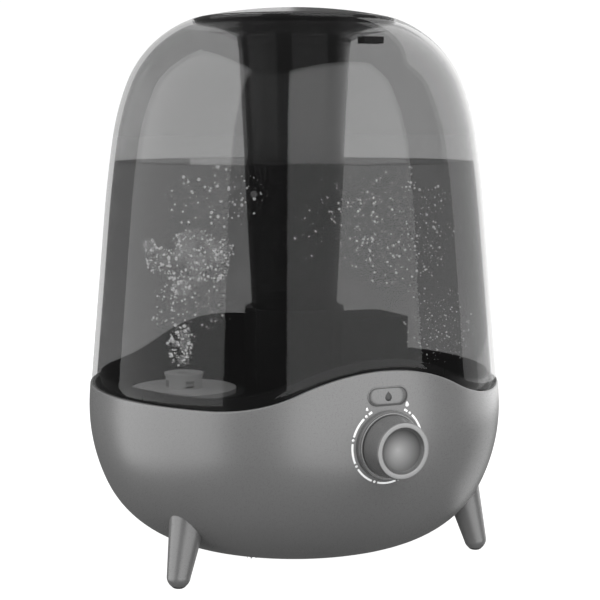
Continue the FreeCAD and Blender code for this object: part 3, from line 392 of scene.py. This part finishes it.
def base_shell():
    """Bowl with a rounded wavy rim and an open hatch in its bottom."""
    fillet = 0.7
    knee = 70.0
    lower = [point for point in BOWL_SIDE if point[1] < knee]
    rows = [(HATCH_RADIUS, BOWL_BOTTOM + BOWL_WALL), (HATCH_RADIUS, BOWL_BOTTOM + 0.5),
            (HATCH_RADIUS + 0.5, BOWL_BOTTOM)]
    rows += lower
    steps = 14

    def outer(part):
        def row(turn):
            height = knee + (rim_height(turn) - fillet - knee) * part
            return radius_at(BOWL_SIDE, height), height
        return row

    def inner(part):
        def row(turn):
            radius, height = outer(part)(turn)
            return radius - BOWL_WALL, height
        return row

    def edge(angle, inside):
        def row(turn):
            height = rim_height(turn) - fillet
            radius = radius_at(BOWL_SIDE, height)
            if inside:
                return (radius - BOWL_WALL + fillet - fillet * math.sin(angle),
                        height + fillet * math.cos(angle))
            return radius - fillet + fillet * math.cos(angle), height + fillet * math.sin(angle)
        return row

    rows += [outer(step / steps) for step in range(steps + 1)]
    rows += [edge(math.pi / 2 * step / 4, False) for step in range(1, 5)]
    rows += [edge(math.pi / 2 * step / 4, True) for step in range(1, 5)]
    rows += [inner(step / steps) for step in range(steps - 1, -1, -1)]
    rows += reversed(offset(lower, BOWL_WALL))
    shell = lathe("bowl_shell", rows)
    dress(shell, SHELL, "base", "shell_grey", "base_shell")


def on_bowl(x, z, lift):
    """Point on the bowl's outside at a distance from the front line and a height, lifted off it."""
    radius = radius_at(BOWL_SIDE, z)
    turn = math.asin(x / radius)
    lifted = radius + lift
    return Vector((lifted * math.sin(turn), -lifted * math.cos(turn), z)) * MM


def on_bowl_plate(name, outline, lift, sunk=-0.4, rings=3):
    """Thin plate that follows the bowl, from an outline of (x, z) points and its centre."""
    tool = bmesh.new()
    centre = (sum(p[0] for p in outline) / len(outline), sum(p[1] for p in outline) / len(outline))
    layers = []
    for ring in range(rings, 0, -1):
        part = ring / rings
        edge_drop = min(0.15, lift / 2) if ring == rings else 0.0
        layers.append([tool.verts.new(on_bowl(centre[0] + (x - centre[0]) * part,
                                              centre[1] + (z - centre[1]) * part,
                                              lift - edge_drop)) for x, z in outline])
    skirt = [tool.verts.new(on_bowl(x, z, sunk)) for x, z in outline]
    layers.insert(0, skirt)
    count = len(outline)
    for lower, upper in zip(layers, layers[1:]):
        for step in range(count):
            tool.faces.new((lower[step], lower[(step + 1) % count],
                            upper[(step + 1) % count], upper[step]))
    tool.faces.new(layers[-1])
    tool.faces.new(list(reversed(skirt)))
    return new_object(name, tool)


def stadium(length, height, centre_z, steps=16):
    reach = (length - height) / 2
    points = []
    for side in (1, -1):
        for step in range(steps + 1):
            angle = -math.pi / 2 + math.pi * step / steps
            points.append((side * (reach + height / 2 * math.cos(angle)),
                           centre_z + side * height / 2 * math.sin(angle)))
    return points


def on_bowl_line(name, points, width, lift, closed=False):
    """Flat ribbon that follows the bowl along (x, z) points."""
    tool = bmesh.new()
    pairs = []
    count = len(points)
    for number, point in enumerate(points):
        before = Vector(points[number - 1] if closed or number else point)
        after = Vector(points[(number + 1) % count] if closed or number < count - 1 else point)
        along = (after - before).normalized()
        side = Vector((-along.y, along.x)) * width / 2
        ring = []
        for reach, height in ((-1, -0.3), (-1, lift), (1, lift), (1, -0.3)):
            ring.append(tool.verts.new(on_bowl(point[0] + side.x * reach, point[1] + side.y * reach,
                                               height)))
        pairs.append(ring)
    joints = list(zip(pairs, pairs[1:])) + ([(pairs[-1], pairs[0])] if closed else [])
    for first, second in joints:
        for corner in range(4):
            after = (corner + 1) % 4
            tool.faces.new((first[corner], first[after], second[after], second[corner]))
    if not closed:
        tool.faces.new(pairs[0])
        tool.faces.new(list(reversed(pairs[-1])))
    return new_object(name, tool, smooth=False)


def disc(x, z, radius, steps=20):
    return [(x + radius * math.cos(2 * math.pi * step / steps),
             z + radius * math.sin(2 * math.pi * step / steps)) for step in range(steps)]


def droplet(x, z, size, steps=24):
    """Outline of a water drop, its point up."""
    points = []
    for step in range(steps):
        angle = 2 * math.pi * step / steps
        points.append((x + size * 0.9 * math.sin(angle) * math.sin(angle / 2),
                       z + size * 0.9 * math.cos(angle)))
    return points


def badge():
    """Oval plate over the knob, with a thin dark border and a plain drop."""
    plate = on_bowl_plate("badge_plate", stadium(BADGE_LENGTH, BADGE_HEIGHT, BADGE_Z), 0.5)
    dress(plate, SHELL, "base", "badge_plate", "badge")
    inset = 1.4
    outline = stadium(BADGE_LENGTH - inset, BADGE_HEIGHT - inset, BADGE_Z)
    border = on_bowl_line("badge_border", outline, 0.35, 0.58, closed=True)
    dress(border, MATT_BLACK, "base", "badge_plate")
    mark = on_bowl_plate("badge_drop", droplet(0, BADGE_Z, 2.6), 0.62, rings=2)
    dress(mark, MATT_BLACK, "base", "badge_plate")


def on_scale(degrees, radius=SCALE_RADIUS):
    """Point (x, z) on the scale's circle, by the angle from its top towards the left."""
    angle = math.radians(degrees)
    return -radius * math.sin(angle), KNOB_Z + radius * math.cos(angle)


def scale_print():
    """Printed scale round the knob: an arc open at the top, parted by dots, and two drops."""
    gap = 5.0
    tail = 11.0
    steps = 12
    spacing = (360 - 2 * SCALE_FIRST) / (SCALE_DOTS - 1)
    dots = [SCALE_FIRST + spacing * number for number in range(SCALE_DOTS)]
    starts = [SCALE_FIRST - tail] + [degrees + gap for degrees in dots]
    ends = [degrees - gap for degrees in dots] + [360 - SCALE_FIRST + tail]
    for number, (start, end) in enumerate(zip(starts, ends)):
        points = [on_scale(start + (end - start) * step / steps) for step in range(steps + 1)]
        piece = on_bowl_line("scale_line_%d" % number, points, 1.0, 0.08)
        dress(piece, PRINT, "base", "badge_plate")
    for number, degrees in enumerate(dots):
        x, z = on_scale(degrees)
        dot = on_bowl_plate("scale_dot_%d" % number, disc(x, z, 0.7), 0.12, rings=1)
        dress(dot, PRINT, "base", "badge_plate")
    drops = (("scale_small_drop", -11.4, 18.6, 1.0), ("scale_large_drop", 10.6, 19.6, 1.5))
    for name, x, rise, size in drops:
        mark = on_bowl_plate(name, droplet(x, KNOB_Z + rise, size), 0.12, rings=1)
        dress(mark, PRINT, "base", "badge_plate")


def knob():
    """Knob with a flat front ring and a finger dish, in lit and shaded copies of one plastic, and a
    thin ring on its bezel in the lighter copy as a painted highlight.
    """
    place = (Matrix.Translation(Vector((0, -BOWL_RADIUS, KNOB_Z)) * MM)
             @ Matrix.Rotation(math.pi / 2, 4, "X"))
    front = KNOB_FRONT
    side_reach = 13.6
    ring_reach = 11.4
    dish_reach = 10.2
    dish = arc((dish_reach, front - 1.7), (0.0, front - 3.4), 31.5, 1, 18)
    rows = ([(9.0, 7.0), (9.0, 2.6), (9.3, 2.4), (14.9, 2.4), (15.25, 2.6)]
            + line((15.3, 2.9), (14.15, front - 0.7), 8)
            + arc((14.15, front - 0.7), (13.5, front), 0.75, -1, 6)
            + arc((11.8, front), (11.3, front - 0.5), 0.6, -1, 5)
            + line((11.3, front - 0.5), (10.2, front - 1.7), 3)
            + dish + [(0.0, front - 3.4), (0.0, 10.5), (3.0, 10.5), (3.0, 7.0)])
    turned = lathe("knob_turned", rows, 160, place=place)
    dress(turned, KNOB, "knob", "shell_grey", "knob")
    for material in (KNOB_SHADED, KNOB_LIT, KNOB_DISH_SHADE):
        turned.data.materials.append(material)
    # Painted shade and highlight: the sides, back and dish lip get the darker copy, the front ring
    # the lighter copy, the dish its painted-shade gradient.
    for face in turned.data.polygons:
        reach = math.hypot(face.center.x, face.center.z - KNOB_Z * MM) / MM
        if reach > side_reach or face.normal.y > 0.2 or dish_reach < reach < ring_reach:
            face.material_index = 1
        elif reach > ring_reach:
            face.material_index = 2
        else:
            face.material_index = 3
    # Thin ring in the lighter copy: a painted highlight on the bezel's edge.
    highlight_ring = lathe("bezel_painted_highlight", [(15.7, 1.6), (16.3, 1.6), (16.3, 2.0), (16.15, 2.15), (15.85, 2.15),
                                (15.7, 2.0)], 160, place=place)
    dress(highlight_ring, KNOB_LIT, "base", "shell_grey")


def foot_pads():
    """Rubber pads that finish the round tip of each leg."""
    for name, degrees in (("front_left", -60), ("front_right", 60), ("rear", 180)):
        turn = math.radians(degrees)
        spot = Vector((100.7 * math.sin(turn), -100.7 * math.cos(turn), 0)) * MM
        rows = [(0.0, 0.0), (1.8, 0.0), (2.5, 0.18), (3.1, 0.5), (3.6, 0.95), (3.95, 1.4), (0.0, 1.4)]
        pad = lathe("pad_" + name, rows, 64, place=Matrix.Translation(spot))
        dress(pad, RUBBER, "base", "rubber_black", "foot_pad_" + name)


# ------------------------------------------------------------------ tank

def tank_shell():
    """Clear tank over the rim. Its inner side is wetted up to the water and dry above it."""
    knee = 140.0
    fillet = 0.5
    upper = [point for point in TANK_SIDE if point[1] > knee]
    steps = 10

    def wall(part, inset, lift=0.0):
        def row(turn):
            foot = rim_height(turn) + TANK_GAP + fillet
            height = foot + (knee - foot) * part
            return radius_at(TANK_SIDE, height) - inset, height + lift
        return row

    edge_inner = 58.4
    rows = [wall(step / steps, 0.0) for step in range(steps + 1)]
    rows += upper[:-1]
    rows += [(55.3, 290.12), (54.95, 290.05), (54.8, 289.8), (54.8, 288.5), (54.5, 288.15),
             (54.0, 288.05), (40.4, 285.3), (39.6, 285.0), (31.3, 281.55), (31.0, 281.3),
             (31.0, 278.9), (39.8, 282.5), (edge_inner, 286.1)]
    rows += [point for point in reversed(offset(upper, TANK_WALL)) if point[0] > edge_inner]
    rows += [wall(step / steps, TANK_WALL) for step in range(steps, -1, -1)]
    rows += [wall(0, TANK_WALL - fillet, -fillet), wall(0, fillet, -fillet)]
    shell = lathe("tank_clear", rows)
    dress(shell, TANK, "tank", "tank_smoke", "tank_shell")
    shell.data.materials.append(TANK_WET)
    shell.data.materials.append(TANK_DRY)
    for face in shell.data.polygons:
        outward = face.normal.x * face.center.x + face.normal.y * face.center.y
        if outward < 0:
            face.material_index = 1 if face.center.z < WATER_Z * MM else 2


def chimney():
    """Clear mist column that widens upwards and ends in a collar under the recess."""
    (foot, foot_z), (head, head_z), (collar, collar_z) = CHIMNEY_FOOT, CHIMNEY_HEAD, CHIMNEY_COLLAR
    outside = [(foot, foot_z), (head, head_z), (collar, head_z + 1.0), (collar, collar_z)]
    inside = [(radius - CHIMNEY_WALL, height) for radius, height in reversed(outside)]
    rows = round_corners([inside[-1]] + outside + inside[:-1], 0.4)
    tube = lathe("chimney_clear", rows, 192)
    dress(tube, CHIMNEY, "tank", "tank_smoke", "chimney_tube")


def mist_cover():
    """Shallow black dome with the round mist outlet in its middle."""
    dome = arc((15.0, 295.9), (54.2, 290.5), 269.0, 1, 20)
    rows = ([(14.0, 288.0), (14.0, 294.9), (14.3, 295.6)] + dome
            + [(54.15, 290.2), (53.9, 289.85), (53.2, 289.8)]
            + arc((53.2, 289.8), (16.0, 293.5), 267.0, -1, 14) + [(16.0, 293.5), (16.0, 288.0)])
    cover = lathe("mist_cover_dome", rows, 192)
    dress(cover, COVER, "cover", "cover_black", "mist_cover")


def water():
    """The filling: the tank's water, which is contents and has no CAD node."""
    floor = 91.6
    free_wall = 140.0
    clearance = 0.25
    chimney_clearance = 0.3
    meniscus = 0.4

    def at_wall(height):
        return radius_at(TANK_SIDE, height) - TANK_WALL - clearance, height

    def in_pan(part):
        def row(turn):
            height = floor + (rim_height(turn) + PAN_LIFT + 0.3 - floor) * part
            return PAN_RADIUS - max(height - RIM_Z, 0) * PAN_LEAN, height
        return row

    def over_pan(part):
        def row(turn):
            foot = rim_height(turn) + PAN_LIFT + 0.9
            return at_wall(foot + (free_wall - foot) * part)
        return row

    def at_chimney(height):
        part = (height - CHIMNEY_FOOT[1]) / (CHIMNEY_HEAD[1] - CHIMNEY_FOOT[1])
        spread_out = (CHIMNEY_HEAD[0] - CHIMNEY_FOOT[0]) * part
        return CHIMNEY_FOOT[0] + spread_out + chimney_clearance, height

    level = WATER_Z - meniscus
    top = at_wall(WATER_Z)[0]
    rows = [(27.6, floor)] + [in_pan(step / 4) for step in range(5)]
    rows += [over_pan(step / 4) for step in range(4)]
    rows += [at_wall(height) for height in (free_wall, 160.0, 185.0, 200.0, WATER_Z - 0.6)]
    rows += [(top - 0.2, WATER_Z - 0.1), (top - 1.0, WATER_Z - 0.25), (top - 3.0, level),
             (60.0, level), (30.5, level), (28.2, WATER_Z - 0.2), (27.5, WATER_Z)]
    rows += [at_chimney(height) for height in (WATER_Z - 1.0, 180.0, 137.0)]
    rows.append((27.6, 134.0))
    filling = lathe("water_fill", rows, 192)
    filling.data.materials.append(WATER)
    filling.data.materials.append(WATER_TOP)
    for face in filling.data.polygons:
        if face.center.z > (WATER_Z - 1.2) * MM and abs(face.normal.z) > 0.7:
            face.material_index = 1
    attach(filling, "tank")


def bubble_cloud(name, spots, material, subdivisions=1):
    """Many small round bubbles in one piece; a spot is (centre, radius) in millimetres."""
    tool = bmesh.new()
    for centre, radius in spots:
        bmesh.ops.create_icosphere(tool, subdivisions=subdivisions, radius=radius * MM,
                                   matrix=Matrix.Translation(Vector(centre) * MM))
    cloud = new_object(name, tool)
    dress(cloud, material, "tank", "tank_smoke")


def scatter(draw, centre, reach, count, small, large, hollow=0.0):
    """Random spots inside an ellipsoid, or near its skin, most of them small."""
    spots = []
    while len(spots) < count:
        spot = [draw.uniform(-1, 1) for _ in range(3)]
        if hollow <= math.sqrt(sum(value * value for value in spot)) <= 1:
            radius = small * (large / small) ** (draw.random() ** 2.5)
            spots.append(([c + r * s for c, r, s in zip(centre, reach, spot)], radius))
    return spots


# parts of the swirling plume: centre and reach
PUFFS = (((-66, -4, 160), (14, 12, 10)), ((-79, -2, 163), (7, 7, 8)), ((-52, -6, 159), (12, 9, 9)),
         ((-60, -4, 173), (12, 8, 6)), ((-45, -6, 168), (7, 6, 6)), ((-84, -2, 170), (4, 4, 4)),
         ((-68, -4, 148), (6, 5, 4)))
# groups of free bubbles: name, centre, reach, count, smallest and largest radius, hollow, filmy
GROUPS = (("nozzle_large", (-67, -2, 118), (7, 6, 9), 9, 1.6, 3.4, 0.0, True),
          ("nozzle", (-67, -2, 117), (8, 7, 12), 150, 0.25, 1.2, 0.5, False),
          ("rising", (-62, -2, 138), (26, 20, 14), 200, 0.2, 0.8, 0.0, False),
          ("left", (-50, -10, 196), (28, 26, 18), 170, 0.2, 1.1, 0.0, False),
          ("left_large", (-52, -10, 196), (24, 20, 14), 7, 1.6, 3.0, 0.0, True),
          ("right", (50, -30, 176), (34, 30, 36), 520, 0.18, 0.9, 0.0, False),
          ("right_large", (46, -30, 192), (24, 20, 14), 9, 1.4, 2.8, 0.0, True),
          ("low_right", (72, -34, 124), (20, 24, 22), 260, 0.15, 0.6, 0.0, False),
          ("front", (6, -60, 184), (34, 20, 28), 190, 0.18, 0.7, 0.0, False))


def bubbles():
    """A plume over the filling cap, bubbles at its nozzle, and fine ones all through the water."""
    draw = random.Random(7)
    fine = []
    films = []
    for centre, reach in PUFFS:
        fine += scatter(draw, centre, reach, 13 * reach[0], 0.22, 1.0, 0.75)
        films += scatter(draw, centre, reach, 2 + reach[0] // 2, 1.6, 6.0)
    bubble_cloud("bubbles_plume", fine, BUBBLE)
    bubble_cloud("bubbles_plume_large", films, FILM, 3)
    for name, centre, reach, count, small, large, hollow, filmy in GROUPS:
        spots = scatter(draw, centre, reach, count, small, large, hollow)
        bubble_cloud("bubbles_" + name, spots, FILM if filmy else BUBBLE, 3 if filmy else 1)


# ------------------------------------------------------------------ stage

CAMERA_TURN = -24.3
CAMERA_DISTANCE = 0.8432
CAMERA_HEIGHT = 0.2339
CAMERA_PITCH = 6.49
CAMERA_LENS = 92.4
AXIS_OFFSET = 0.215


def around(azimuth, distance, height):
    """A point round the object; azimuth 0 is towards the camera, positive to its right."""
    turn = math.radians(azimuth + CAMERA_TURN)
    return Vector((distance * math.sin(turn), -distance * math.cos(turn), height))


def softbox(name, azimuth, distance, height, width, tall, radiance, aim=None):
    """Flat rectangular light that looks at the axis, at its own height or at another one."""
    light = bpy.data.lights.new(name, "AREA")
    light.shape = "RECTANGLE"
    light.size = width
    light.size_y = tall
    light.energy = radiance * math.pi * width * tall
    lamp = bpy.data.objects.new(name, light)
    bpy.context.scene.collection.objects.link(lamp)
    lamp.location = around(azimuth, distance, height)
    look = Vector((0, 0, height if aim is None else aim)) - lamp.location
    lamp.rotation_euler = look.to_track_quat("-Z", "Y").to_euler()
    lamp.visible_camera = False
    return lamp


def seen_or_lit(tree, lit, seen):
    """One value for the light that a surface gives, and another for how it looks to the camera."""
    path = tree.nodes.new("ShaderNodeLightPath")
    level = tree.nodes.new("ShaderNodeMix")
    level.data_type = "FLOAT"
    level.inputs["A"].default_value = lit
    level.inputs["B"].default_value = seen
    tree.links.new(path.outputs["Is Camera Ray"], level.inputs["Factor"])
    return level.outputs["Result"]


def stage():
    world = bpy.data.worlds.new("studio")
    bpy.context.scene.world = world
    world.use_nodes = True
    tree = world.node_tree
    back = tree.nodes["Background"]
    tree.links.new(seen_or_lit(tree, 0.14, 1.05), back.inputs["Strength"])
    back.inputs["Color"].default_value = (1, 1, 1, 1)

    bpy.ops.mesh.primitive_plane_add(size=60)
    floor = bpy.context.object
    floor.name = "floor"
    material, nodes, surface = shader("pale_floor")
    surface.inputs["Roughness"].default_value = 0.8
    surface.inputs["Emission Color"].default_value = (1, 1, 1, 1)
    nodes.links.new(tint(nodes, noise(nodes, 3.0), grey(0.10), grey(0.12)),
                    surface.inputs["Base Color"])
    nodes.links.new(seen_or_lit(nodes, 0.12, 1.05), surface.inputs["Emission Strength"])
    floor.data.materials.append(material)
    floor.visible_glossy = False
    floor.visible_diffuse = False
    floor.visible_shadow = False

    softbox("left_softbox", -73, 1.0, 0.65, 1.45, 2.2, 2.4)
    softbox("right_softbox", 34, 1.0, 0.68, 1.55, 2.26, 2.4)
    softbox("rim_light", 135, 1.1, 0.6, 1.3, 1.4, 1.7)
    softbox("edge_light", -177, 1.6, 0.5, 0.16, 1.2, 1.0)
    softbox("low_right_light", 132, 1.0, -0.24, 0.5, 0.56, 0.9, 0.05)
    overhead = softbox("top_light", 0, 0.1, 1.3, 1.2, 1.2, 5.0, 0.15)
    overhead.visible_glossy = False

    lens = bpy.data.cameras.new("camera")
    lens.lens = CAMERA_LENS
    lens.sensor_width = 36.0
    lens.clip_start = 0.01
    camera = bpy.data.objects.new("camera", lens)
    bpy.context.scene.collection.objects.link(camera)
    camera.location = around(0, CAMERA_DISTANCE, CAMERA_HEIGHT)
    camera.rotation_euler = (math.radians(90 - CAMERA_PITCH), 0,
                             math.radians(CAMERA_TURN - AXIS_OFFSET))
    bpy.context.scene.camera = camera
    bpy.context.scene.view_settings.view_transform = "Standard"
    bpy.context.scene.cycles.transparent_max_bounces = 32


dress_nodes()
base_shell()
badge()
scale_print()
knob()
foot_pads()
tank_shell()
chimney()
mist_cover()
water()
bubbles()
stage()
